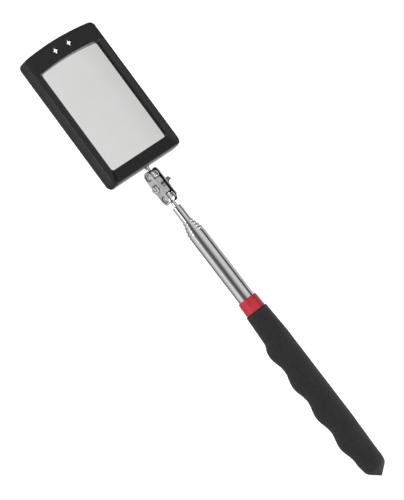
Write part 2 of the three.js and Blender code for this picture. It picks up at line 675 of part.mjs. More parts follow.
function gripSection(x, sides = 24) {
  const points = [];
  for (let i = 0; i < sides; i++) {
    const angle = (i / sides) * Math.PI * 2;
    const bulge = fingerRise(x) * ((1 - Math.cos(angle)) / 2) ** 1.6;
    const y = gripRadius(x) * Math.cos(angle) - bulge;
    points.push(new THREE.Vector3(x, y, gripRadius(x) * Math.sin(angle)));
  }
  return points;
}

const gripStations = [GRIP_FRONT, GRIP_FRONT + 0.35, GRIP_FRONT + 0.8];
for (let x = GRIP_FRONT + 3; x < SHOULDER_FRONT; x += 2.5) gripStations.push(x);
gripStations.push(SHOULDER_FRONT, SHOULDER_FRONT + 1.8, SHOULDER_FRONT + 3.2, CONE_FRONT, GRIP_REAR);
const gripBore = rodAlongX(mainRadius + 0.12, GRIP_FRONT - 1, MAIN_TUBE_REAR + 1.6, ROUND_SIDES);
const spigotBore = rodAlongX(5.75, GRIP_FRONT - 1, SPIGOT_REAR + 0.3, ROUND_SIDES);
const foamGrip = cut(skin(gripStations.map((x) => gripSection(x))), gripBore, spigotBore);
place(wand, "foam_grip", foamGrip, matte(0x2b2a29, 0.95));

const tubeBore = mainRadius - TUBE_WALL;
const endPlug = turnedAlongX([
  [0, MAIN_TUBE_REAR - 3.6],
  [tubeBore - 0.1, MAIN_TUBE_REAR - 3.6],
  [tubeBore - 0.1, MAIN_TUBE_REAR + 0.1],
  [mainRadius - 0.1, MAIN_TUBE_REAR + 0.1],
  [mainRadius - 0.3, MAIN_TUBE_REAR + 1.3],
  [0, MAIN_TUBE_REAR + 1.3],
]);
place(wand, "end_plug", endPlug, matte(0x222222, 0.6));

// ---------------------------------------------------------------- assembly

wand.rotation.y = -WAND_TILT;
wand.position.z = BALL_HEIGHT;
inspectionMirror.add(head, wand);
inspectionMirror.position.x = -(HEAD_APEX_X + GRIP_REAR * Math.cos(WAND_TILT)) / 2;

const part = new THREE.Group();
part.add(inspectionMirror);

export default part;
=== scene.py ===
import json
from collections import namedtuple
from math import atan2, copysign, cos, dist, exp, hypot, log, pi, radians, sin, sqrt, tan, tau

import bmesh
import bpy
from mathutils import Matrix, Vector, noise


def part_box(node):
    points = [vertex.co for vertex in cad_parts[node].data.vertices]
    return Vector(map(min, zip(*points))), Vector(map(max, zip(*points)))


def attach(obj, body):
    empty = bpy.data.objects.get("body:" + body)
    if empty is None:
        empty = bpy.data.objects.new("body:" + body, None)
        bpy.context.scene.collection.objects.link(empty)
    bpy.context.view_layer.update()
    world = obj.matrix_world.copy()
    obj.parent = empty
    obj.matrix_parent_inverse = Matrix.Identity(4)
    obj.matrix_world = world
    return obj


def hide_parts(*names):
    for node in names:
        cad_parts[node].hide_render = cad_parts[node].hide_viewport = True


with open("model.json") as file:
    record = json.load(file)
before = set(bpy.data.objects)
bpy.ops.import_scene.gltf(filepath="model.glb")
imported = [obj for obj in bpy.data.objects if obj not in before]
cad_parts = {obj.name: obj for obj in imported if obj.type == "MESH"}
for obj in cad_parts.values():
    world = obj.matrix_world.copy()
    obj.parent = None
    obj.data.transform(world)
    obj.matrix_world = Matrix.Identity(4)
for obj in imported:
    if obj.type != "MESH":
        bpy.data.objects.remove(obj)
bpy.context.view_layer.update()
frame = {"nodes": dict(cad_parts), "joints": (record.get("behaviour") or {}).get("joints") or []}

MM = 0.001

# ---- places, from the frame

JOINTS = {joint["name"]: joint for joint in frame["joints"]}
UPPER_BALL = Vector(JOINTS["upper_ball_pitch"]["pos_m"])
LOWER_BALL = Vector(JOINTS["lower_ball_pitch"]["pos_m"])
SLIDE = Vector(JOINTS["tube_4_slide"]["axis"])
WAND_TILT = atan2(-SLIDE.z, -SLIDE.x)
HEAD = Matrix.Translation((UPPER_BALL.x, 0, 0)) @ Matrix.Scale(MM, 4)
WAND = Matrix.Translation(UPPER_BALL) @ Matrix.Rotation(-WAND_TILT, 4, "Y") @ Matrix.Scale(MM, 4)
BALL_HEIGHT = UPPER_BALL.z / MM
BALL_SPACING = (LOWER_BALL - UPPER_BALL).length / MM


class Extent:
    """A CAD node's box in a local frame, in millimetres, and its greatest distance from the X axis."""

    def __init__(self, node, place):
        to_local = place.inverted()
        points = [to_local @ v.co for v in frame["nodes"][node].data.vertices]
        self.x0, self.y0, self.z0 = (min(p[i] for p in points) for i in range(3))
        self.x1, self.y1, self.z1 = (max(p[i] for p in points) for i in range(3))
        self.radius = max(hypot(p.y, p.z) for p in points)
        self.middle_x = (self.x0 + self.x1) / 2
        self.middle_y = (self.y0 + self.y1) / 2


# ---- shapes

CORNER_SHARE = 0.48      # the most of a side that one rounded corner may take up


def rounded(points, radius, steps=6, closed=False):
    """A flat polyline with its corners rounded, by one radius or by one for each corner."""
    corners = [Vector(p) for p in points]
    count = len(corners)
    path = []
    for i, corner in enumerate(corners):
        wanted = radius[i] if isinstance(radius, list) else radius
        if wanted == 0 or (not closed and i in (0, count - 1)):
            path.append(corner)
            continue
        back, ahead = corners[i - 1] - corner, corners[(i + 1) % count] - corner
        half = back.angle(ahead) / 2
        reach = min(wanted / tan(half), back.length * CORNER_SHARE, ahead.length * CORNER_SHARE)
        actual = reach * tan(half)
        middle = (back.normalized() + ahead.normalized()).normalized()
        centre = corner + middle * (actual / sin(half))
        start = corner + back.normalized() * reach - centre
        end = corner + ahead.normalized() * reach - centre
        first = atan2(start.y, start.x)
        turn = (atan2(end.y, end.x) - first + pi) % tau - pi
        for step in range(steps + 1):
            angle = first + turn * step / steps
            path.append(centre + actual * Vector((cos(angle), sin(angle))))
    return path


def new_object(name, data):
    obj = bpy.data.objects.new(name, data)
    bpy.context.scene.collection.objects.link(obj)
    return obj


def make_mesh(name, vertices, faces):
    mesh = bpy.data.meshes.new(name)
    mesh.from_pydata([tuple(v) for v in vertices], [], faces)
    mesh.validate()
    return new_object(name, mesh)


def loft(name, rings, closed=False):
    """A skin over rings of equally many points, capped at both ends or closed on itself."""
    count = len(rings[0])
    numbers = [range(k * count, (k + 1) * count) for k in range(len(rings))]
    faces = bands(numbers, closed)
    if not closed:
        faces += [tuple(reversed(numbers[0])), tuple(numbers[-1])]
    return outward(make_mesh(name, [p for ring in rings for p in ring], faces))


def bands(rings, closed):
    """The faces between neighbouring rings of vertex numbers; a pole repeats one number."""
    faces = []
    for k in range(len(rings) if closed else len(rings) - 1):
        low, high = rings[k], rings[(k + 1) % len(rings)]
        for i in range(len(low)):
            j = (i + 1) % len(low)
            face = tuple(dict.fromkeys((low[i], low[j], high[j], high[i])))
            if len(face) > 2:
                faces.append(face)
    return faces


def lathe(name, profile, sides=96, axis="X"):
    """A solid turned about an axis from (position, radius) points; a radius of 0 makes a pole."""
    profile = [tuple(p) for p in profile]
    closed = dist(profile[0], profile[-1]) < 1e-6
    if closed:
        profile = profile[:-1]
    vertices, rings = [], []
    for x, radius in profile:
        start = len(vertices)
        if radius < 1e-6:
            vertices.append(Vector((x, 0, 0)))
            rings.append([start] * sides)
            continue
        for i in range(sides):
            angle = tau * i / sides
            vertices.append(Vector((x, radius * cos(angle), radius * sin(angle))))
        rings.append(list(range(start, start + sides)))
    if axis == "Z":
        vertices = [Vector((v.y, v.z, v.x)) for v in vertices]
    if axis == "Y":
        vertices = [Vector((v.z, v.x, v.y)) for v in vertices]
    return outward(make_mesh(name, vertices, bands(rings, closed)))


def outward(obj):
    """Turns a closed mesh's faces outwards."""
    work = bmesh.new()
    work.from_mesh(obj.data)
    bmesh.ops.recalc_face_normals(work, faces=work.faces)
    if work.calc_volume(signed=True) < 0:
        bmesh.ops.reverse_faces(work, faces=work.faces)
    work.to_mesh(obj.data)
    work.free()
    return obj


def moved(obj, x=0.0, y=0.0, z=0.0):
    obj.data.transform(Matrix.Translation((x, y, z)))
    return obj


def turned(obj, degrees, axis):
    obj.data.transform(Matrix.Rotation(radians(degrees), 4, axis))
    return obj


def combine(obj, others, operation):
    """Cuts other solids from obj, or joins them to it, and removes them."""
    for other in others:
        modifier = obj.modifiers.new("combine", "BOOLEAN")
        modifier.operation = operation
        modifier.solver = "EXACT"
        modifier.object = other
        view = bpy.context.evaluated_depsgraph_get()
        result = bpy.data.meshes.new_from_object(obj.evaluated_get(view))
        obj.modifiers.clear()
        obj.data = result
        bpy.data.objects.remove(other)
    return obj


def cut(obj, *tools):
    return combine(obj, tools, "DIFFERENCE")


def join(obj, *others):
    return combine(obj, others, "UNION")


def flat_ring(points, z):
    return [Vector((p[0], p[1], z)) for p in points]


def rounded_plate(name, x0, x1, y0, y1, z0, z1, corner, edge=0.0):
    """A plate with round corners seen from above, and rounded top and bottom edges."""
    outline = [(x0, y0), (x1, y0), (x1, y1), (x0, y1)]
    rings = []
    for inset, z in edge_levels(z0, z1, edge):
        shrunk = [(x - copysign(inset, x - (x0 + x1) / 2), y - copysign(inset, y - (y0 + y1) / 2))
                  for x, y in outline]
        rings.append(flat_ring(rounded(shrunk, max(corner - inset, 0.01), 8, closed=True), z))
    return loft(name, rings)


def quarter(steps):
    """Angles from 0 to a right angle; no steps gives only the first."""
    return [pi / 2 * i / steps for i in range(steps + 1)] if steps else [0.0]


def edge_levels(low, high, edge):
    """(Inset, height) steps up a wall whose bottom and top edges are rounded by edge."""
    turns = quarter(4 if edge else 0)
    levels = [(edge * (1 - sin(a)), low + edge * (1 - cos(a))) for a in turns]
    return levels + [(edge * (1 - cos(a)), high - edge * (1 - sin(a))) for a in turns]


def rod(x0, x1, radius, sides=48, axis="Z", name="cutter"):
    """A plain cylinder along an axis."""
    return lathe(name, [(x0, 0), (x0, radius), (x1, radius), (x1, 0)], sides, axis)


def flared_hole(radius, low, high, flare, sides=64):
    """A cutter along Z whose top edge, at height high, opens in a quarter round."""
    profile = [(low, 0), (low, radius)]
    profile += [(high - flare * (1 - sin(a)), radius + flare * (1 - cos(a))) for a in quarter(5)]
    profile += [(high + 1, radius + flare), (high + 1, 0)]
    return lathe("cutter", profile, sides, "Z")


# ---- arched rectangle

HEAD_BOX = Extent("head_bezel", HEAD)
COVER_BOX = Extent("head_back_cover", HEAD)
GLASS_BOX = Extent("mirror_glass", HEAD)
GLASS_LIP = 0.9
RIM_INSET = 1.6
TOP_STEP = 0.4

Outline = namedtuple("Outline", "half_width bottom_x apex_x arc_radius corner")
HEAD_OUTLINE = Outline(HEAD_BOX.y1, HEAD_BOX.x1, HEAD_BOX.x0, 190.0, 3.5)
WINDOW_OUTLINE = Outline(
    GLASS_BOX.y1 - GLASS_LIP, GLASS_BOX.x1 - GLASS_LIP, GLASS_BOX.x0 + GLASS_LIP, 170.0, 1.6,
)
CREST_OUTLINE = Outline(
    HEAD_OUTLINE.half_width - RIM_INSET, HEAD_OUTLINE.bottom_x - RIM_INSET, WINDOW_OUTLINE.apex_x - TOP_STEP,
    WINDOW_OUTLINE.arc_radius + TOP_STEP, HEAD_OUTLINE.corner - RIM_INSET,
)


def arched(outline, inset, z, corner_steps=12, arc_steps=64):
    """The head's kind of outline, moved inwards by inset: three straight sides and an arched top."""
    arc_radius, corner = outline.arc_radius, outline.corner
    side_y = outline.half_width - corner
    arc_x = outline.apex_x + arc_radius
    top_x = arc_x - sqrt((arc_radius - corner) ** 2 - side_y**2)
    low_x = outline.bottom_x - corner
    shoulder = atan2(side_y, arc_x - top_x)
    radius = corner - inset
    ring = []

    def arc(x, y, r, start, end, steps, skip_ends=False):
        for i in range(skip_ends, steps + (not skip_ends)):
            angle = start + (end - start) * i / steps
            ring.append(Vector((x + r * cos(angle), y + r * sin(angle), z)))

    quarter_turn = pi / 2
    arc(low_x, -side_y, radius, -quarter_turn, 0, corner_steps)
    arc(low_x, side_y, radius, 0, quarter_turn, corner_steps)
    arc(top_x, side_y, radius, quarter_turn, pi - shoulder, corner_steps)
    arc(arc_x, 0, arc_radius - inset, pi - shoulder, pi + shoulder, arc_steps, True)
    arc(top_x, -side_y, radius, pi + shoulder, 3 * quarter_turn, corner_steps)
    return ring


def between(ring_a, ring_b, share, z=None):
    """The ring part of the way from one ring to another, at height z if that is given."""
    ring = [a.lerp(b, share) for a, b in zip(ring_a, ring_b)]
    if z is not None:
        for p in ring:
            p.z = z
    return ring


# ---- materials


class Surface:
    """A procedural material: one Principled shader whose colour, gloss and relief come from noise."""

    def __init__(self, name, **sockets):
        self.material = bpy.data.materials.new(name)
        self.material.use_nodes = True
        self.tree = self.material.node_tree
        self.shader = self.tree.nodes["Principled BSDF"]
        for socket, value in sockets.items():
            self.shader.inputs[socket.replace("_", " ")].default_value = value
        self.coordinates = self.node("TexCoord").outputs["Object"]
        self.relief = None

    def node(self, kind):
        return self.tree.nodes.new("ShaderNode" + kind)

    def link(self, source, target):
        self.tree.links.new(source, target)

    def noise(self, size_mm, detail=3.0, stretch=(1, 1, 1)):
        node = self.node("TexNoise")
        node.inputs["Scale"].default_value = 1 / (size_mm * MM)
        node.inputs["Detail"].default_value = detail
        mapping = self.node("Mapping")
        mapping.inputs["Scale"].default_value = stretch
        self.link(self.coordinates, mapping.inputs["Vector"])
        self.link(mapping.outputs["Vector"], node.inputs["Vector"])
        return node.outputs["Fac"]

    def cells(self, size_mm):
        node = self.node("TexVoronoi")
        node.inputs["Scale"].default_value = 1 / (size_mm * MM)
        self.link(self.coordinates, node.inputs["Vector"])
        return node.outputs["Distance"]

    def colour(self, factor, first, second, start=0.3, end=0.7):
        ramp = self.node("ValToRGB")
        for stop, position, colour in zip(ramp.color_ramp.elements, (start, end), (first, second)):
            stop.position = position
            stop.color = (*colour, 1)
        self.link(factor, ramp.inputs["Fac"])
        self.link(ramp.outputs["Color"], self.shader.inputs["Base Color"])

    def gloss(self, factor, low, high):
        node = self.node("MapRange")
        for socket, value in (("From Min", 0.3), ("From Max", 0.7), ("To Min", low), ("To Max", high)):
            node.inputs[socket].default_value = value
        self.link(factor, node.inputs["Value"])
        self.link(node.outputs["Result"], self.shader.inputs["Roughness"])

    def bump(self, height, depth_mm, strength=1.0):
        node = self.node("Bump")
        node.inputs["Distance"].default_value = depth_mm * MM
        node.inputs["Strength"].default_value = strength
        self.link(height, node.inputs["Height"])
        if self.relief is not None:
            self.link(self.relief, node.inputs["Normal"])
        self.relief = node.outputs["Normal"]
        self.link(self.relief, self.shader.inputs["Normal"])


def tinted(colour, factor):
    return tuple(c * factor for c in colour)


def grey(tone, blue=0.0):
    return (tone, tone, tone + blue)


def plain(name, tones, dark, light, sheen, gloss, grain=(), **sockets):
    """A surface whose colour follows the noise tones, whose gloss follows sheen, and with fine grain."""
    surface = Surface(name, **sockets)
    surface.colour(surface.noise(*tones), dark, light)
    surface.gloss(surface.noise(*sheen), *gloss)
    for size_mm, detail, stretch, depth in grain:
        surface.bump(surface.noise(size_mm, detail, stretch), depth)
    return surface


EVEN = (1, 1, 1)
ALONG = (0.04, 1, 1)
EDGE_TINT = (0.45, 0.45, 0.45, 1)


def moulded_plastic(name, colour, roughness, grain_mm=0.12, **sockets):
    """Moulded plastic: fine grain and slow changes of gloss."""
    return plain(name, (9, 4), tinted(colour, 0.85), tinted(colour, 1.2), (6, 5, (1, 3, 1)),
                 (roughness - 0.05, roughness + 0.07), [(grain_mm, 2, EVEN, 0.006)], **sockets)


def plated_metal(name, colour, roughness, drawn=EVEN, depth=0.0012, **sockets):
    """Bright plate: faint streaks along the way it was drawn or turned."""
    return plain(name, (5, 3), tinted(colour, 0.94), tinted(colour, 1.03), (0.6, 4, drawn),
                 (roughness * 0.7, roughness * 1.5), [(0.35, 3, drawn, depth)], Metallic=1.0, **sockets)


def satin_metal(name, colour, roughness, brushed=EVEN, depth=0.004):
    """Satin plate over stamped or turned metal: visible brushing and slight staining."""
    return plain(name, (2.5, 5), tinted(colour, 0.82), tinted(colour, 1.08), (0.4, 4, brushed),
                 (roughness - 0.07, roughness + 0.1), [(0.16, 3, brushed, depth)], Metallic=1.0)


def wire_insulation(name, colour):
    return plain(name, (2, 3), tinted(colour, 0.85), tinted(colour, 1.15), (0.8, 3), (0.35, 0.5),
                 [(0.3, 2, EVEN, 0.005)])


def grip_foam(name):
    """Closed-cell foam: tiny open pores, and a skin whose tone varies at random."""
    surface = plain(name, (1.2, 5), (0.0058, 0.0055, 0.0055), (0.0092, 0.0087, 0.0088),
                    (0.7, 4), (0.72, 0.92), IOR=1.4, Sheen_Weight=0.03, Sheen_Roughness=0.5)
    surface.bump(surface.cells(0.34), 0.05, 0.6)
    surface.bump(surface.noise(1.1, 4), 0.07, 0.7)
    return surface


def foam_tape(name):
    surface = plain(name, (0.8, 4), grey(0.035), grey(0.06), (0.5, 3), (0.8, 0.95))
    surface.bump(surface.cells(0.3), 0.05)
    return surface


def circuit_board(name):
    surface = Surface(name, Coat_Weight=0.4)
    surface.colour(surface.noise(0.9, 2, (1, 4, 1)), (0.012, 0.12, 0.04), (0.02, 0.19, 0.07), 0.45, 0.52)
    surface.gloss(surface.noise(1, 4), 0.25, 0.4)
    surface.bump(surface.noise(0.5, 2), 0.01)
    return surface


FINE_GRIT = [(0.08, 2, EVEN, 0.004)]
MAKERS = {
    "head_plastic": (moulded_plastic, (0.0055, 0.0051, 0.0048), 0.25, {"Specular_IOR_Level": 0.29}),
    "dark_part": (moulded_plastic, grey(0.012), 0.42, 0.2),
    "mirror": (plain, (14, 3), (0.72, 0.716, 0.712), (0.74, 0.738, 0.734), (4, 6), (0.015, 0.04),
               {"Metallic": 1.0}),
    "ground_glass_edge": (plain, (0.3, 4), (0.6, 0.62, 0.61), (0.78, 0.8, 0.79), (0.2, 3), (0.2, 0.4),
                          FINE_GRIT, {"IOR": 1.5}),
    "led_epoxy": (plain, (1, 2), (0.97, 0.98, 1.0), (1.0, 1.0, 1.0), (0.5, 3), (0.01, 0.05),
                  {"IOR": 1.53, "Transmission_Weight": 1.0}),
    # White reflector plastic, faintly lit by the lamp's own light.
    "led_frame": (plain, (0.3, 3), (0.86, 0.88, 0.9), (0.95, 0.96, 0.97), (0.1, 3), (0.25, 0.4), FINE_GRIT,
                  {"Emission_Color": (0.95, 0.98, 1.0, 1.0), "Emission_Strength": 1.1}),
    "red_plastic": (plain, (4, 4), (0.22, 0.001, 0.009), (0.28, 0.003, 0.015), (1.5, 5), (0.3, 0.44),
                    [(0.25, 2, EVEN, 0.006)],
                    {"IOR": 1.5, "Specular_IOR_Level": 0.35, "Coat_Weight": 0.05, "Coat_Roughness": 0.2}),
    "grip_foam": (grip_foam,),
    "foam_tape": (foam_tape,),
    "circuit_board": (circuit_board,),
    "cell_steel": (satin_metal, grey(0.62, 0.01), 0.24, (1, 0.1, 1), 0.002),
    "brass": (satin_metal, (0.72, 0.48, 0.18), 0.3),
    "switch_steel": (satin_metal, grey(0.55, 0.01), 0.35),
    "black_screw": (satin_metal, grey(0.07, 0.005), 0.38),
    "plate_steel": (satin_metal, grey(0.6, 0.005), 0.34, (0.15, 1, 1), 0.0008),
    # Painted shade: near-black steel for the link plates' inner faces and seat holes, where shade falls.
    "greased_steel": (satin_metal, (0.035, 0.034, 0.033), 0.33, EVEN, 0.002),
    "nut_steel": (satin_metal, grey(0.4, 0.005), 0.3, EVEN, 0.0008),
    "bright_screw": (plated_metal, grey(0.62, 0.01), 0.12),
    "chrome": (plated_metal, grey(0.52, 0.005), 0.07),
    "chrome_tube": (plated_metal, (0.5, 0.497, 0.497), 0.07, ALONG, 0.0006, {"Specular_Tint": EDGE_TINT}),
    "red_wire": (wire_insulation, (0.42, 0.012, 0.012)),
    "white_wire": (wire_insulation, (0.7, 0.7, 0.67)),
    "black_wire": (wire_insulation, grey(0.012)),
}
MATERIALS = {}


def material(name):
    """The material by that name, made when it is first asked for."""
    if name not in MATERIALS:
        maker, *values = MAKERS[name]
        sockets = values.pop() if values and isinstance(values[-1], dict) else {}
        MATERIALS[name] = maker(name, *values, **sockets).material
    return MATERIALS[name]


# ---- setting pieces into the frame

SHARP_ANGLE = radians(38)


def shade_smooth(obj):
    """Smooth shading that keeps sharp edges sharp and flat faces flat."""
    obj.data.shade_smooth()
    obj.data.set_sharp_from_angle(angle=SHARP_ANGLE)
    modifier = obj.modifiers.new("weighted_normals", "WEIGHTED_NORMAL")
    modifier.keep_sharp = True


def settle(obj, place, body, stands_for=(), slot=None, finish=None):
    """Sets a piece shaped in millimetres into the frame, on its body and with its finish."""
    obj.data.transform(place)
    obj.data.materials.clear()
    obj.data.materials.append(material(finish or slot))
    shade_smooth(obj)
    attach(obj, body)
    if stands_for:
        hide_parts(*stands_for)
    return obj


# ---- head shells

SEAM_LOW = COVER_BOX.z1
SEAM_HIGH = HEAD_BOX.z0
FRONT_Z = HEAD_BOX.z1
WINDOW_EDGE_Z = GLASS_BOX.z1 + 1.3
SHELL_WALL = 1.5
SEAM_EDGE = 0.12
FRONT_ROUNDING = 1.2
BACK_ROUNDING = 0.7
WALL_DRAFT = 0.1
HOLE_FLARE = 0.42
LAMP_HOLE_RADIUS = 1.75
SLOPE_EASE = 0.12
GLASS_GAP = 0.05
POCKET_GAP = 0.2


def bezel():
    """The front shell: rounded rim, slope down to the window, flat top band with the lamp holes."""
    outer = HEAD_OUTLINE
    rings = [arched(outer, SEAM_EDGE * share, SEAM_HIGH + SEAM_EDGE * rise)
             for share, rise in ((1, 0), (0.3, 0.3), (0, 1))]
    shoulder = FRONT_Z - FRONT_ROUNDING
    for a in quarter(10):
        inset = WALL_DRAFT + FRONT_ROUNDING * (1 - cos(a))
        rings.append(arched(outer, inset, shoulder + FRONT_ROUNDING * sin(a)))
    crest = arched(CREST_OUTLINE, 0, FRONT_Z)
    window = arched(WINDOW_OUTLINE, 0, WINDOW_EDGE_Z)
    rim_end = arched(outer, WALL_DRAFT + FRONT_ROUNDING, FRONT_Z)
    rings += [between(rim_end, crest, share) for share in (0.3, 0.85)]
    # The crest and the foot of the slope are eased by a few rings along a curve.
    for share in (0, 0.35, 0.7, 1):
        rings.append(eased(between(rim_end, crest, 0.9), crest, between(crest, window, SLOPE_EASE), share))
    rings.append(between(crest, window, 0.5))
    for share in (0, 0.5, 1):
        rings.append(eased(between(crest, window, 1 - SLOPE_EASE), window, lowered(window, 0.18), share))
    rings.append(lowered(window, WINDOW_EDGE_Z - GLASS_BOX.z1 - GLASS_GAP))
    pocket = -GLASS_LIP - POCKET_GAP
    ceiling = GLASS_BOX.z0
    rings += [arched(WINDOW_OUTLINE, pocket, z) for z in (GLASS_BOX.z1 + GLASS_GAP, ceiling)]
    rings += [arched(outer, SHELL_WALL, z) for z in (ceiling, SEAM_HIGH)]
    shell = loft("bezel", rings, closed=True)
    lamp_holes = []
    for node in ("led_left", "led_right"):
        place = Extent(node, HEAD)
        hole = flared_hole(LAMP_HOLE_RADIUS, ceiling - 1, FRONT_Z, HOLE_FLARE)
        lamp_holes.append(moved(hole, place.middle_x, place.middle_y))
    return cut(shell, *lamp_holes, stud_hole())


def eased(start, corner, end, share):
    """The ring at a share of the way round a curve from start to end that leans to corner."""
    return between(between(start, corner, share), between(corner, end, share), share)


def lowered(ring, drop):
    return [p - Vector((0, 0, drop)) for p in ring]


def stud_hole():
    """The round hole in the head's lower wall through which the ball stud passes."""
    wall = HEAD_OUTLINE.bottom_x
    profile = [(wall - 2.5, 0), (wall - 2.5, 1.6), (wall - 0.25, 1.6), (wall + 0.1, 1.95), (wall + 1, 1.95),
               (wall + 1, 0)]
    return moved(lathe("cutter", profile, 48), z=BALL_HEIGHT)


DOOR_BOX = Extent("battery_door", HEAD)
KNOB_BOX = Extent("switch_knob", HEAD)
SWITCH_BOX = Extent("switch_body", HEAD)
CASE_SCREWS = [Extent(f"case_screw_{i}", HEAD) for i in (1, 2, 3, 4)]
DOOR_SCREW = Extent("battery_door_screw", HEAD)
CELLS = Extent("battery_1", HEAD)
CELL_RADIUS = (CELLS.x1 - CELLS.x0) / 2
FLOOR_THICKNESS = 1.05
DOOR_GAP = 0.15
BAY_GAP = 0.4


def back_shell():
    """The back shell: battery bay, door recess, finger hollow with the switch slot, screw wells."""
    outer = HEAD_OUTLINE
    rings = [arched(outer, SHELL_WALL, FLOOR_THICKNESS), arched(outer, SHELL_WALL, SEAM_LOW),
             arched(outer, SEAM_EDGE, SEAM_LOW), arched(outer, 0, SEAM_LOW - SEAM_EDGE)]
    for a in quarter(6):
        inset = BACK_ROUNDING * (1 - cos(a))
        rings.append(arched(outer, inset, BACK_ROUNDING * (1 - sin(a))))
    rings.append(arched(outer, BACK_ROUNDING + 0.3, 0))
    shell = loft("back_shell", rings)
    posts = [moved(rod(0.5, SEAM_LOW - 0.1, 3), screw.middle_x, screw.middle_y) for screw in CASE_SCREWS]
    posts.append(moved(rod(0.9, SEAM_LOW - 0.2, 3.6), DOOR_SCREW.middle_x))
    join(shell, *posts)
    tools = []
    for screw in CASE_SCREWS:
        well = lathe("cutter", [(-1, 0), (-1, 2.35), (0, 2.35), (0.25, 2.1), (1.6, 2.1), (1.6, 1.1), (4, 1.1),
                                (4, 0)], 48, "Z")
        tools.append(moved(well, screw.middle_x, screw.middle_y))
    door, gap = DOOR_BOX, DOOR_GAP
    tools.append(rounded_plate("cutter", door.x0 - gap, door.x1 + gap, door.y0 - gap, door.y1 + gap,
                               -1, 0.6, 1.2))
    tools.append(bay_plate("cutter", BAY_GAP, 0, 2, 1))
    well = lathe("cutter", [(0, 0), (0, 2.6), (1.15, 2.6), (1.15, 0.95), (4, 0.95), (4, 0)], 48, "Z")
    tools.append(moved(well, DOOR_SCREW.middle_x))
    slot_x = SWITCH_BOX.middle_x
    tools.append(finger_hollow(slot_x))
    tools.append(rounded_plate("cutter", slot_x - 2.8, slot_x + 2.8, -1.35, 1.35, 0, 2, 0.4))
    tools.append(stud_hole())
    return cut(shell, *tools)


def bay_plate(name, gap, z0, z1, corner, edge=0.0):
    """A plate as large as both cells side by side, and a gap more all round."""
    x, reach, side = CELLS.middle_x, CELL_RADIUS + gap, -CELLS.y0 + gap
    return rounded_plate(name, x - reach, x + reach, -side, side, z0, z1, corner, edge)


def finger_hollow(x):
    """An oval hollow round the switch, with sloping sides."""
    rings = []
    for grow, z in ((1.0, -1), (0.55, 0), (0.2, 0.3), (0, 0.6)):
        outline = [(x - 6 - grow, -3.2 - grow), (x + 6 + grow, -3.2 - grow),
                   (x + 6 + grow, 3.2 + grow), (x - 6 - grow, 3.2 + grow)]
        rings.append(flat_ring(rounded(outline, 3.1 + grow, 12, closed=True), z))
    return loft("cutter", rings)


settle(bezel(), HEAD, "head", ["head_bezel"], "head_plastic")
settle(back_shell(), HEAD, "head", ["head_back_cover"], "head_plastic")

# ---- mirror


def mirror_plate():
    """The glass, with a narrow ground bevel round both faces."""
    bevel = 0.25
    low, high = GLASS_BOX.z0, GLASS_BOX.z1
    levels = ((bevel, low), (0, low + bevel), (0, high - bevel), (bevel, high), (0.5, high))
    return loft("mirror_plate", [arched(WINDOW_OUTLINE, inset - GLASS_LIP, z) for inset, z in levels])


glass = settle(mirror_plate(), HEAD, "head", ["mirror_glass"], "mirror")
glass.data.materials.append(material("ground_glass_edge"))
for face in glass.data.polygons:
    if face.normal.z < 0.98:
        face.material_index = 1

# ---- lamps

DOME_RISE = 0.7
LAMP_FLANGE = 0.4
LAMP_FLANGE_HEIGHT = 1
LAMP_FLOOR_DEPTH = 1.2
STAR_REACHES = (1.4, 0.76, 0.5, 0.76)


def lamp(node):
    """A 3 mm lamp: a clear body with a low dome over a dark base, and a bright four-armed frame in it."""
    place = Extent(node, HEAD)
    x, y = place.middle_x, place.middle_y
    rim = (place.x1 - place.x0) / 2
    radius = rim - LAMP_FLANGE
    dome_base, step = place.z1 - DOME_RISE, place.z0 + LAMP_FLANGE_HEIGHT
    profile = [(place.z0, 0), (place.z0, rim), (step, rim), (step, radius)]
    profile += [(dome_base + DOME_RISE * sin(a), radius * cos(a)) for a in quarter(14)[:-1]]
    profile += [(place.z1, 0)]
    body = moved(lathe(f"{node}_body", profile, 48, "Z"), x, y)
    settle(body, HEAD, "head", [node], "led_lens", "led_epoxy")
    floor_z = dome_base - LAMP_FLOOR_DEPTH
    base = rod(floor_z - 0.5, floor_z, 1.38, 32, name=f"{node}_base")
    settle(moved(base, x, y), HEAD, "head", finish="dark_part")
    rings = []
    for scale, rise in ((0.8, -0.4), (1, -0.2), (1, -0.1), (0.35, 0.35)):
        reaches = [STAR_REACHES[k % 4] * scale for k in range(16)]
        rings.append(flat_ring([(r * cos(tau * k / 16), r * sin(tau * k / 16))
                            for k, r in enumerate(reaches)], dome_base + rise))
    star = loft(f"{node}_frame", rings)
    settle(moved(star, x, y), HEAD, "head", finish="led_frame")


lamp("led_left")
lamp("led_right")

# ---- screws


def cross_screw(name, node, body, slot, head_height, thread):
    """A cross-recessed screw with a low domed head, pointing along +Z."""
    place = Extent(node, HEAD)
    head_radius, length = (place.x1 - place.x0) / 2, place.z1 - place.z0
    profile = [(0, 0), (0, head_radius * 0.7), (head_height * 0.3, head_radius), (head_height, head_radius),
               (head_height, thread), (length - 0.6, thread), (length, 0)]
    screw = lathe(name, rounded(profile, [0, 0.3, 0.15, 0.1, 0, 0.1, 0], 4), 48, "Z")
    reach, depth, half = head_radius * 0.6, head_height * 0.62, head_radius * 0.14
    bars = []
    for angle in (0, 90):
        rings = []
        for share, z in ((1.25, -0.2), (1.1, 0), (0.62, depth)):
            corners = [(-reach * share, -half * share), (reach * share, -half * share),
                       (reach * share, half * share), (-reach * share, half * share)]
            rings.append(flat_ring(rounded(corners, half * 0.5, 3, closed=True), z))
        bars.append(turned(loft("cutter", rings), angle + 20, "Z"))
    cut(screw, *bars)
    settle(moved(screw, place.middle_x, place.middle_y, place.z0), HEAD, body, [node], slot)


for i in (1, 2, 3, 4):
    cross_screw(f"cover_screw_{i}", f"case_screw_{i}", "head", "black_screw", 1.1, 0.9)
cross_screw("door_screw", "battery_door_screw", "battery_door", "black_screw", 0.5, 0.8)

# ---- battery door and switch knob

THUMB_HOLLOW = 5.35


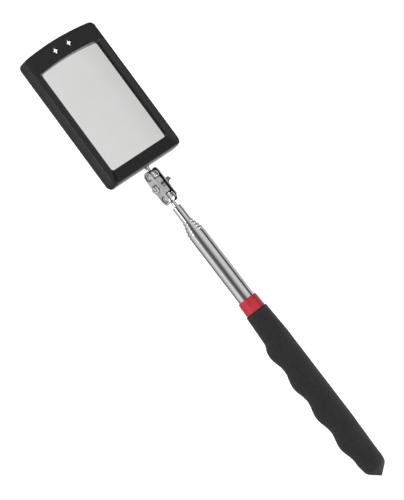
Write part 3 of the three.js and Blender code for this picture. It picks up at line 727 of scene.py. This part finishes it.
def door_lid():
    """The battery door: a plate with a locating pad inside and a ribbed thumb hollow outside."""
    d = DOOR_BOX
    lid = rounded_plate("door_lid", d.x0, d.x1, d.y0, d.y1, d.z0, 0.5, 1, 0.12)
    pad = bay_plate("pad", 0.1, 0.3, 0.85, 0.8, 0.1)
    boss = moved(rod(0.3, 1.05, 2.4), DOOR_SCREW.middle_x)
    join(lid, pad, boss)
    well = lathe("cutter", [(-1, 0), (-1, 2), (0.08, 2), (0.25, 1.8), (0.75, 1.8), (0.75, 0.95), (2, 0.95),
                            (2, 0)], 48, "Z")
    hollow = lathe("cutter", [(-1, 0), (-1, 4.4), (0.08, 4), (0.35, 3.4), (0.35, 0)], 64, "Z")
    cut(lid, moved(well, DOOR_SCREW.middle_x), moved(hollow, d.x1 - THUMB_HOLLOW))
    ribs = []
    for k in (-2, -1, 0, 1, 2):
        x = d.x1 - THUMB_HOLLOW + k * 1.1
        half = 2.9 * cos(k * 0.35)
        ribs.append(rounded_plate("rib", x - 0.22, x + 0.22, -half, half, 0.16, 0.4, 0.2, 0.08))
    return join(lid, *ribs)


settle(door_lid(), HEAD, "battery_door", ["battery_door"], "head_plastic")


def knob():
    """The switch's slider: a ribbed cap on a stem."""
    k = KNOB_BOX
    cap = rounded_plate("slider_knob", k.x0, k.x1, k.y0, k.y1, k.z0, 1, 0.25, 0.1)
    stem = rounded_plate("stem", k.middle_x - 0.9, k.middle_x + 0.9, -0.6, 0.6, 0.8, k.z1, 0.1)
    steps = (-0.8, -0.27, 0.27, 0.8)
    grooves = [moved(rod(-2, 2, 0.16, 16, "Y"), k.middle_x + step, 0, k.z0) for step in steps]
    return cut(join(cap, stem), *grooves)


settle(knob(), HEAD, "switch_knob", ["switch_knob"], "dark_part")

# ---- swivel joint


def half_width(node):
    low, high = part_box(node)
    return (high.y - low.y) / 2 / MM


BALL_RADIUS = half_width("upper_ball")
SHANK_RADIUS = half_width("upper_stud")
BALL_GAP = 0.12


def ball_piece(name, place, x, body, node):
    """A ball with the small flat that its turning centre left on each side."""
    turns = [pi * i / 32 for i in range(1, 32)]
    profile = [(-BALL_RADIUS * cos(a), BALL_RADIUS * sin(a)) for a in turns]
    profile = [(-BALL_RADIUS, 0), *profile, (BALL_RADIUS, 0)]
    ball = turned(lathe(name, profile, 64), 90, "Z")
    dots = []
    for side in (-1, 1):
        dot = lathe("cutter", [(0, 0), (0.25, 0.28), (1, 0.28), (1, 0)], 24)
        dots.append(moved(turned(dot, 90 * side, "Z"), y=side * (BALL_RADIUS - 0.25)))
    cut(ball, *dots)
    settle(moved(ball, x), place, body, [node], "chrome")


ball_piece("head_ball", HEAD @ Matrix.Translation((0, 0, BALL_HEIGHT)), 0, "upper_ball", "upper_ball")
ball_piece("handle_ball", WAND, BALL_SPACING, "lower_ball", "lower_ball")


def stud_seat():
    """The hollow tip of a stud, which runs just clear of its ball."""
    reach = BALL_RADIUS + BALL_GAP
    radii = [SHANK_RADIUS * i / 5 for i in range(6)]
    return [(sqrt(reach**2 - r**2), r) for r in radii]


upper_end = -Extent("upper_stud", HEAD).x0
upper_profile = stud_seat() + rounded([(4, SHANK_RADIUS), (upper_end, SHANK_RADIUS), (upper_end, 0)], 0.2, 3)
upper_stud = turned(lathe("head_stud", upper_profile, 64), 180, "Z")
settle(moved(upper_stud, z=BALL_HEIGHT), HEAD, "upper_stud", ["upper_stud"], "chrome")

plug = Extent("lower_stud", WAND)
plug_front, plug_rear = Extent("tube_1", WAND).x0 - BALL_SPACING + 0.9, plug.x1 - BALL_SPACING
lower_profile = stud_seat() + rounded([
    (4, SHANK_RADIUS), (plug_front, SHANK_RADIUS), (plug_front, plug.radius), (plug_rear, plug.radius),
    (plug_rear, 0),
], 0.15, 3)
lower_stud = moved(lathe("handle_stud", lower_profile, 64), BALL_SPACING)
settle(lower_stud, WAND, "lower_stud", ["lower_stud"], "chrome")

# ---- link plates and clamp screw

PLATE = Extent("link_plate_left", WAND)
PLATE_HALF_HEIGHT = PLATE.z1
PLATE_THICKNESS = 1.0
PLATE_EDGE = 0.22
PLATE_OUTER_Y = -PLATE.y0
PLATE_INNER_Y = PLATE_OUTER_Y - PLATE_THICKNESS
CLAMP_X = BALL_SPACING / 2
FLANGE_HALF = 4.6
NOTCH_HALF = 1.4
NOTCH_START_Y = -1.4
SEAT_HOLE_RADIUS = 2.08
SEAT_ROLL = 0.3
WEB_START_Z = PLATE_HALF_HEIGHT - 1.3


def oval(half_height, steps=24):
    """The link's outline: two half rounds about the ball centres."""
    ring = []
    for centre, start in ((BALL_SPACING, -pi / 2), (0, pi / 2)):
        for i in range(steps + 1):
            angle = start + pi * i / steps
            ring.append((centre + half_height * cos(angle), half_height * sin(angle)))
    return ring


def link_plate(name):
    """One stamping: oval face with dished ball seats, and a notched flange bent over its top edge."""
    plate = loft(name, [[Vector((x, y, z)) for x, z in oval(PLATE_HALF_HEIGHT - inset)]
                        for inset, y in edge_levels(-PLATE_OUTER_Y, -PLATE_INNER_Y, PLATE_EDGE)])
    join(plate, flange())
    tools = [moved(seat_cutter(), x) for x in (0, BALL_SPACING)]
    outer = -PLATE_OUTER_Y
    hole = [(outer - 1, 0), (outer - 1, 1.62), (outer, 1.62), (outer + 0.2, 1.42), (0, 1.42), (0, 0)]
    tools.append(moved(lathe("cutter", hole, 40, "Y"), CLAMP_X))
    notch = rounded_plate("cutter", CLAMP_X - NOTCH_HALF, CLAMP_X + NOTCH_HALF, NOTCH_START_Y, 4, 0, 5, 0.9)
    return cut(plate, *tools, notch)


def seat_cutter():
    """A hole with a rolled edge outside and a dished seat for the ball inside."""
    radius, roll = SEAT_HOLE_RADIUS, SEAT_ROLL
    outer, inner = -PLATE_OUTER_Y, -PLATE_INNER_Y
    profile = [(outer - 1, 0), (outer - 1, radius + roll)]
    profile += [(outer + roll * (1 - cos(a)), radius + roll * (1 - sin(a))) for a in quarter(5)]
    reach = BALL_RADIUS + 0.06
    meet = -sqrt(max(reach**2 - radius**2, 0))
    profile += [(min(meet, inner - 0.05), radius), (inner, sqrt(max(reach**2 - inner**2, radius**2))),
                (0, reach), (0, 0)]
    return lathe("cutter", profile, 64, "Y")


def flange():
    """The bent-over edge between the balls, an L in section with a round bend."""
    outer, top, wall = -PLATE_OUTER_Y, PLATE_HALF_HEIGHT, PLATE_THICKNESS
    end = PLATE.y1
    section = rounded([
        (outer, top - 2.4), (outer, top), (end, top), (end, top - wall), (outer + wall, top - wall),
        (outer + wall, top - 2.4),
    ], [0, 0.95, 0.2, 0.2, 0.12, 0], 8)
    ends = (CLAMP_X - FLANGE_HALF, CLAMP_X + FLANGE_HALF)
    return loft("flange", [[Vector((x, p.x, p.y)) for p in section] for x in ends])


def paint_shade_inside(plate):
    """The plate's inner faces and seat holes, where shade falls between the plates, get painted shade: a
    near-black steel finish.
    """
    to_local = WAND.inverted()
    plate.data.materials.append(material("greased_steel"))
    for face in plate.data.polygons:
        centre = to_local @ face.center
        facing = (to_local.to_3x3() @ face.normal).normalized()
        # Painted shade goes on faces towards the other plate, on the flange's inside and on the seat hole
        # walls.
        wall = abs(facing.y) > 0.5 and facing.y * centre.y < 0
        web = abs(facing.z) > 0.9 and facing.z * centre.z < 0 and abs(centre.z) > WEB_START_Z
        from_ball = min(hypot(centre.x - x, centre.z) for x in (0, BALL_SPACING))
        bore = from_ball < SEAT_HOLE_RADIUS + 0.12 and abs(centre.y) < PLATE_OUTER_Y - 0.08
        face.material_index = 1 if wall or web or bore else 0


# Both plates get painted shade where they face each other and in their seat holes.
paint_shade_inside(settle(link_plate("link_near"), WAND, "link", ["link_plate_left"], "plate_steel"))
far_plate = turned(link_plate("link_far"), 180, "X")
paint_shade_inside(settle(far_plate, WAND, "link", ["link_plate_right"], "plate_steel"))

SCREW = Extent("clamp_screw", WAND)
THREAD_PITCH = 0.5
THREAD_DEPTH = 0.16


def pan_screw():
    """The clamp screw: a slotted pan head, and a real helical thread on its shank."""
    start, end = SCREW.y0, SCREW.y1
    head_radius = SCREW.x1 - CLAMP_X
    head_height = 1.7
    sides = 48
    under = start + head_height
    head_profile = rounded([
        (start, 0), (start, 1.75), (start + 0.55, 2.35), (start + 1.1, head_radius), (under, head_radius),
        (under, SHANK_RADIUS), (under + 1.2, SHANK_RADIUS),
    ], [0, 0.5, 0.5, 0.3, 0.15, 0, 0], 5)
    rings = [[(x, r)] * sides for x, r in head_profile if r > 1e-6]
    thread_start = under + 1.3
    per_turn = 8
    count = int((end - 0.45 - thread_start) / (THREAD_PITCH / per_turn))
    for k in range(count + 1):
        ring = []
        for i in range(sides):
            y = thread_start + k * THREAD_PITCH / per_turn
            phase = (k / per_turn - i / sides) % 1
            ridge = abs(phase - 0.5) * 2
            fade = min(1.0, k / per_turn, (count - k) / per_turn * 2)
            ring.append((y, SHANK_RADIUS - THREAD_DEPTH * (1 - ridge) * fade))
        rings.append(ring)
    rings.append([(end, SHANK_RADIUS - 0.3)] * sides)
    turns = [tau * i / sides for i in range(sides)]
    screw = loft("clamp_bolt", [[Vector((CLAMP_X + r * cos(a), y, r * sin(a)))
                                 for a, (y, r) in zip(turns, ring)] for ring in rings])
    slot_tool = turned(rounded_plate("cutter", -0.33, 0.33, -3.5, 3.5, -0.85, 1, 0.05), 90, "X")
    return cut(screw, moved(turned(slot_tool, 35, "Y"), CLAMP_X, SCREW.y0))


settle(pan_screw(), WAND, "clamp_screw", ["clamp_screw"], "bright_screw")

WASHER = Extent("clamp_washer", WAND)
NUT = Extent("clamp_nut", WAND)


def split_washer():
    """A spring washer with its slanted cut."""
    radius = WASHER.x1 - CLAMP_X
    ring = lathe("spring_washer", closed_profile([
        (WASHER.y0, 1.55), (WASHER.y1, 1.55), (WASHER.y1, radius), (WASHER.y0, radius),
    ], 0.1), 64, "Y")
    gap = rounded_plate("cutter", 1, 4, -2, 2, -0.18, 0.18, 0.1)
    gap = turned(gap, 25, "X")
    return moved(cut(ring, moved(gap, y=WASHER.middle_y)), CLAMP_X)


def closed_profile(points, radius):
    """A rounded profile that closes on itself."""
    path = rounded(points, radius, 4, closed=True)
    return path + [path[0]]


NUT_CHAMFER = 0.28
NUT_FACE_SHARE = 0.87
NUT_BORE = 1.42
NUT_BORE_MOUTH = 1.75


def hex_nut():
    """A nut with chamfered corners on both faces."""
    upright = NUT.x1 - NUT.x0 < NUT.z1 - NUT.z0
    half_flats = min(NUT.x1 - NUT.x0, NUT.z1 - NUT.z0) / 2
    corner = half_flats / cos(pi / 6)

    def ring(y, limit):
        points = []
        for k in range(144):
            angle = tau * k / 144
            from_flat = (angle + pi / 6) % (pi / 3) - pi / 6
            radius = min(half_flats / cos(from_flat), limit)
            across, along = radius * cos(angle), radius * sin(angle)
            points.append(Vector((across, y, along) if upright else (along, y, across)))
        return points

    chamfer = [(NUT_CHAMFER * k / 4, corner * (NUT_FACE_SHARE + (1 - NUT_FACE_SHARE) * k / 4))
               for k in range(5)]
    mouth = NUT_BORE_MOUTH - NUT_BORE
    rings = [ring(NUT.y0 + mouth, NUT_BORE), ring(NUT.y0, NUT_BORE_MOUTH)]
    rings += [ring(NUT.y0 + depth, limit) for depth, limit in chamfer]
    rings += [ring(NUT.y1 - depth, limit) for depth, limit in reversed(chamfer)]
    rings += [ring(NUT.y1, NUT_BORE_MOUTH), ring(NUT.y1 - mouth, NUT_BORE)]
    return moved(loft("nut", rings, closed=True), CLAMP_X)


settle(split_washer(), WAND, "link", ["clamp_washer"], "plate_steel")
settle(hex_nut(), WAND, "link", ["clamp_nut"], "bright_screw", finish="nut_steel")

# ---- telescoping tubes

TUBE_WALL = 0.3
CRIMP_LENGTH = 1.5
CRIMP_GAP = 0.08
BEAD_NOSE = 0.65
GROOVE_START = 1.65
GROOVE_END = 2.1
GROOVE_DEPTH = 0.25
TUBES = ["tube_1", "tube_2", "tube_3", "tube_4", "main_tube"]
TUBE_EXTENTS = [Extent(node, WAND) for node in TUBES]


def tube_piece(i):
    """A drawn tube. All but the first have a front end rolled in to the next smaller tube."""
    place = TUBE_EXTENTS[i]
    front, rear, outer = place.x0, place.x1, place.radius
    bore = outer - TUBE_WALL
    if i == 0:
        hole = SHANK_RADIUS + 0.15
        profile = closed_profile([
            (front, hole), (front, outer), (rear, outer), (rear, bore), (front + 0.7, bore),
            (front + 0.7, hole),
        ], [0.1, 0.35, 0.1, 0.1, 0.3, 0.1])
        return lathe("tube_1_drawn", profile, 128)
    lip = TUBE_EXTENTS[i - 1].radius + CRIMP_GAP
    crown, groove = outer - 0.02, outer - GROOVE_DEPTH
    profile = [(front + 0.3, lip), (front + 0.05, lip + 0.06)]
    for a in quarter(10):
        profile.append((front + BEAD_NOSE * (1 - cos(a)), lip + 0.1 + (crown - lip - 0.1) * sin(a)))
    for step in range(1, 9):
        x = front + BEAD_NOSE + 0.3 + (GROOVE_START - BEAD_NOSE - 0.3) * step / 8
        profile.append((x, crown + (groove - crown) * (1 - cos(pi * step / 8)) / 2))
    profile += [(front + GROOVE_END, groove), (front + GROOVE_END + 0.4, outer)]
    profile += [(rear - 0.1, outer), (rear, outer - 0.1), (rear, bore)]
    profile += [(front + CRIMP_LENGTH, bore), (front + 0.7, lip), (front + 0.3, lip)]
    return lathe(f"{TUBES[i]}_drawn", profile, 128)


for i, node in enumerate(TUBES):
    settle(tube_piece(i), WAND, "handle" if node == "main_tube" else node, [node], "chrome_tube")

# ---- collar and grip

COLLAR = Extent("collar", WAND)
GRIP = Extent("foam_grip", WAND)
MAIN_RADIUS = TUBE_EXTENTS[-1].radius


def collar_ring():
    """The red collar: rounded front lip, slight taper, and a spigot under the foam."""
    front, rear, bore = COLLAR.x0, COLLAR.x1, MAIN_RADIUS + 0.1
    shoulder = GRIP.x0 - 0.1
    profile = closed_profile([
        (front, bore), (front, 5.4), (front + 0.9, 5.7), (shoulder, 5.94), (shoulder, 5.6), (rear, 5.6),
        (rear, bore),
    ], [0.1, 0.45, 0.8, 0.25, 0, 0.3, 0.1])
    return lathe("collar_ring", profile, 128)


settle(collar_ring(), WAND, "handle", ["collar"], "red_plastic")

# Places along the grip are millimetres from the upper ball.
NECK_RADIUS = 6.55
GRIP_SWELL = 0.78
GRIP_FALL = 0.55
FRONT_ROUND = 0.09
SHOULDER_FALL = 0.134
CONE_BLEND = 0.35
FINGER_PITCH = 20.2
FIRST_FINGER = 114.9
FINGER_RISE = 1.65
FINGER_WAVE = 1.18
SHOULDER_FRONT = 191
CONE_FRONT = 195.3
CONE_SLOPE = 1.21
CONE_TIP_RADIUS = 0.3
UNEVENNESS = ((0.05, 0.35), (0.02, 1.7))      # depth and rate of the skin's slow and quick dents


def smooth(low, high, x):
    t = min(max((x - low) / (high - low), 0), 1)
    return t * t * (3 - 2 * t)


def grip_radius(x):
    """The grip's radius away from the fingers: a swell, a rounded shoulder and a blunt cone."""
    swell = NECK_RADIUS + GRIP_SWELL * smooth(88, 112, x) - GRIP_FALL * smooth(160, SHOULDER_FRONT, x)
    front = 1 - FRONT_ROUND * (1 - smooth(GRIP.x0 - 0.7, GRIP.x0 + 0.7, x))
    along = max(0, x - SHOULDER_FRONT) / (CONE_FRONT - SHOULDER_FRONT)
    body = swell * front * (1 - SHOULDER_FALL * along**2)
    cone = CONE_TIP_RADIUS + CONE_SLOPE * (GRIP.x1 - x)
    return -CONE_BLEND * log(exp(-body / CONE_BLEND) + exp(-cone / CONE_BLEND))


def finger_rise(x):
    """How far the finger side stands out beyond that radius."""
    wave = cos((x - FIRST_FINGER) / FINGER_PITCH * tau)
    fade = smooth(106.3, 111.7, x) * (1 - smooth(186, 192, x))
    return fade * (FINGER_RISE + FINGER_WAVE * wave)


def foam_handle():
    """The foam grip: finger waves on one side, a closed nose, and a skin that is never quite even."""
    sides = 96
    stations = [GRIP.x0 + step for step in (0, 0.12, 0.3, 0.55, 0.9)]
    x = GRIP.x0 + 1.5
    while x < SHOULDER_FRONT:
        stations.append(x)
        x += 0.75
    while x < GRIP.x1 - 0.3:
        stations.append(x)
        x += 0.3
    rings = []
    for x in stations:
        ring = []
        for i in range(sides):
            angle = tau * i / sides
            radius = max(grip_radius(x), 0.05)
            bulge = finger_rise(x) * ((1 - cos(angle)) / 2) ** 1.6
            point = Vector((x, radius * cos(angle) - bulge, radius * sin(angle)))
            dent = sum(depth * (noise.noise(point * rate) + 1) / 2 for depth, rate in UNEVENNESS)
            inward = Vector((0, point.y, point.z))
            if inward.length > 1:
                point -= inward.normalized() * dent
            ring.append(point)
        rings.append(ring)
    tip = rings[-1]
    for share, x in ((0.75, GRIP.x1 - 0.16), (0.3, GRIP.x1 - 0.03)):
        rings.append([Vector((x, share * p.y, share * p.z)) for p in tip])
    grip = loft("foam_handle", rings)
    tube_rear = TUBE_EXTENTS[-1].x1
    bore = rod(GRIP.x0 - 1, tube_rear + 1.6, MAIN_RADIUS + 0.12, 64, "X")
    spigot = rod(GRIP.x0 - 1, COLLAR.x1 + 0.3, 5.75, 64, "X")
    return cut(grip, bore, spigot)


settle(foam_handle(), WAND, "handle", ["foam_grip"], "grip_foam")

# ---- parts that stay as the frame has them

KEPT = {
    "brass": ["stud_insert", "contact_positive", "contact_negative", "contact_bridge",
              "sleeve_1", "sleeve_2", "sleeve_3", "sleeve_4"],
    "foam_tape": ["mirror_backing_pad"],
    "circuit_board": ["led_board"],
    "dark_part": ["led_resistor", "end_plug"],
    "cell_steel": ["battery_1", "battery_2"],
    "switch_steel": ["switch_body"],
    "red_wire": ["wire_red"],
    "white_wire": ["wire_white"],
    "black_wire": ["wire_black"],
}
KEPT_EDGE = 0.05
KEPT_WELD = 0.01
KEPT_SHARP = radians(40)
for finish, nodes in KEPT.items():
    for node in nodes:
        part = frame["nodes"][node]
        part.data.materials.clear()
        part.data.materials.append(material(finish))
        part.modifiers.new("weld", "WELD").merge_threshold = KEPT_WELD * MM
        edge = part.modifiers.new("edge", "BEVEL")
        edge.width = KEPT_EDGE * MM
        edge.segments = 2
        edge.limit_method = "ANGLE"
        edge.angle_limit = KEPT_SHARP

# ---- floor, light and camera

FLOOR_HALF = 4.0
FLOOR_Z = -0.3
CORNERS = ((-1, -1), (1, -1), (1, 1), (-1, 1))
floor = make_mesh("floor", [(x * FLOOR_HALF, y * FLOOR_HALF, FLOOR_Z) for x, y in CORNERS], [(0, 1, 2, 3)])
floor_surface = Surface("floor_paper", Specular_IOR_Level=0.0)
floor_surface.colour(floor_surface.noise(60, 2), grey(0.93), grey(0.95))
floor_surface.gloss(floor_surface.noise(30, 2), 0.9, 1.0)
floor.data.materials.append(floor_surface.material)
floor.visible_glossy = False

# The room's glow by the direction's angle over the X axis, counted from the -Y horizon over the top.
SKY = [
    (-180, 1.15), (-125, 1.1), (-110, 0.7), (-98, 0.3), (-80, 0.28), (-66, 0.5), (-54, 0.74), (-42, 0.97),
    (-30, 1.15), (-20, 1.3), (-10, 1.45), (-3, 1.38), (3, 1.12), (9, 0.6), (22, 0.277), (35, 0.158),
    (48, 0.164), (62, 0.529), (75, 0.907), (90, 1.159), (102, 1.222), (114, 1.008), (125, 0.932),
    (126.5, 0.63), (130, 0.101), (146, 0.101), (156, 0.479), (167, 0.97), (178, 1.15),
]


def studio_sky():
    world = bpy.data.worlds.new("studio")
    bpy.context.scene.world = world
    world.use_nodes = True
    new, link = world.node_tree.nodes.new, world.node_tree.links.new
    split = new("ShaderNodeSeparateXYZ")
    link(new("ShaderNodeTexCoord").outputs["Generated"], split.inputs[0])
    back = new("ShaderNodeMath")
    back.operation = "MULTIPLY"
    back.inputs[1].default_value = -1
    link(split.outputs["Y"], back.inputs[0])
    angle = new("ShaderNodeMath")
    angle.operation = "ARCTAN2"
    link(split.outputs["Z"], angle.inputs[0])
    link(back.outputs[0], angle.inputs[1])
    share = new("ShaderNodeMapRange")
    share.inputs["From Min"].default_value = -pi
    share.inputs["From Max"].default_value = pi
    link(angle.outputs[0], share.inputs["Value"])
    ramp = new("ShaderNodeValToRGB")
    stops = ramp.color_ramp.elements
    while len(stops) < len(SKY):
        stops.new(0.5)
    for stop, (degrees, glow) in zip(stops, SKY):
        stop.position = (degrees + 180) / 360
        stop.color = (glow, glow, glow, 1)
    link(share.outputs["Result"], ramp.inputs["Fac"])
    background = world.node_tree.nodes["Background"]
    link(ramp.outputs["Color"], background.inputs["Color"])
    background.inputs["Strength"].default_value = 1.0


studio_sky()


def softbox(name, location, size, power, target=(0, 0, 0), glint=False):
    """An area light: a glint shows only in glossy surfaces, and the others only light matt ones."""
    light = bpy.data.lights.new(name, "AREA")
    light.shape = "RECTANGLE"
    light.size, light.size_y = size
    light.energy = power
    obj = new_object(name, light)
    obj.location = location
    obj.rotation_euler = (Vector(target) - Vector(location)).to_track_quat("-Z", "Y").to_euler()
    obj.visible_camera = False
    obj.visible_glossy = glint
    obj.visible_diffuse = not glint


softbox("overhead", (0.0, 0.0, 1.6), (2.6, 2.2), 18)
softbox("front", (-0.1, -1.3, 0.8), (2.6, 1.4), 44)
softbox("handle_end_glint", (1.2, 0.85, 0.45), (1.3, 1.3), 26, glint=True)
head_middle = ((HEAD_BOX.x0 + HEAD_BOX.x1) / 2 * MM + UPPER_BALL.x, 0, 0)
softbox("head_side_glint", (head_middle[0] - 0.02, -0.5, 0.03), (0.13, 0.06), 0.35, head_middle, glint=True)

# The aim is on the X axis, behind the upper ball, and then shifted in the picture's plane.
AZIMUTH, ELEVATION, ROLL = (radians(a) for a in (2.96, 55.26, 51.15))
CAMERA_DISTANCE = 1.3
AIM_RIGHT, AIM_UP = -4.03 * MM, 5.53 * MM
AIM_BEHIND_BALL = 54.206 * MM
LENS = 175.5


def photo_camera():
    """The camera at the photograph's angle, rolled so that the wand runs down to the right."""
    back = Vector((sin(AZIMUTH) * cos(ELEVATION), -cos(AZIMUTH) * cos(ELEVATION), sin(ELEVATION)))
    across = Vector((cos(AZIMUTH), sin(AZIMUTH), 0))
    over = back.cross(across)
    right = across * cos(ROLL) + over * sin(ROLL)
    up = over * cos(ROLL) - across * sin(ROLL)
    data = bpy.data.cameras.new("camera")
    data.lens = LENS
    data.sensor_width = 36
    data.clip_start, data.clip_end = 0.01, 20
    camera = new_object("camera", data)
    place = Matrix((right, up, back)).transposed().to_4x4()
    aim = Vector((UPPER_BALL.x + AIM_BEHIND_BALL, 0, 0)) + right * AIM_RIGHT + up * AIM_UP
    place.translation = aim + back * CAMERA_DISTANCE
    camera.matrix_world = place
    bpy.context.scene.camera = camera


photo_camera()
bpy.context.scene.view_settings.view_transform = "Standard"
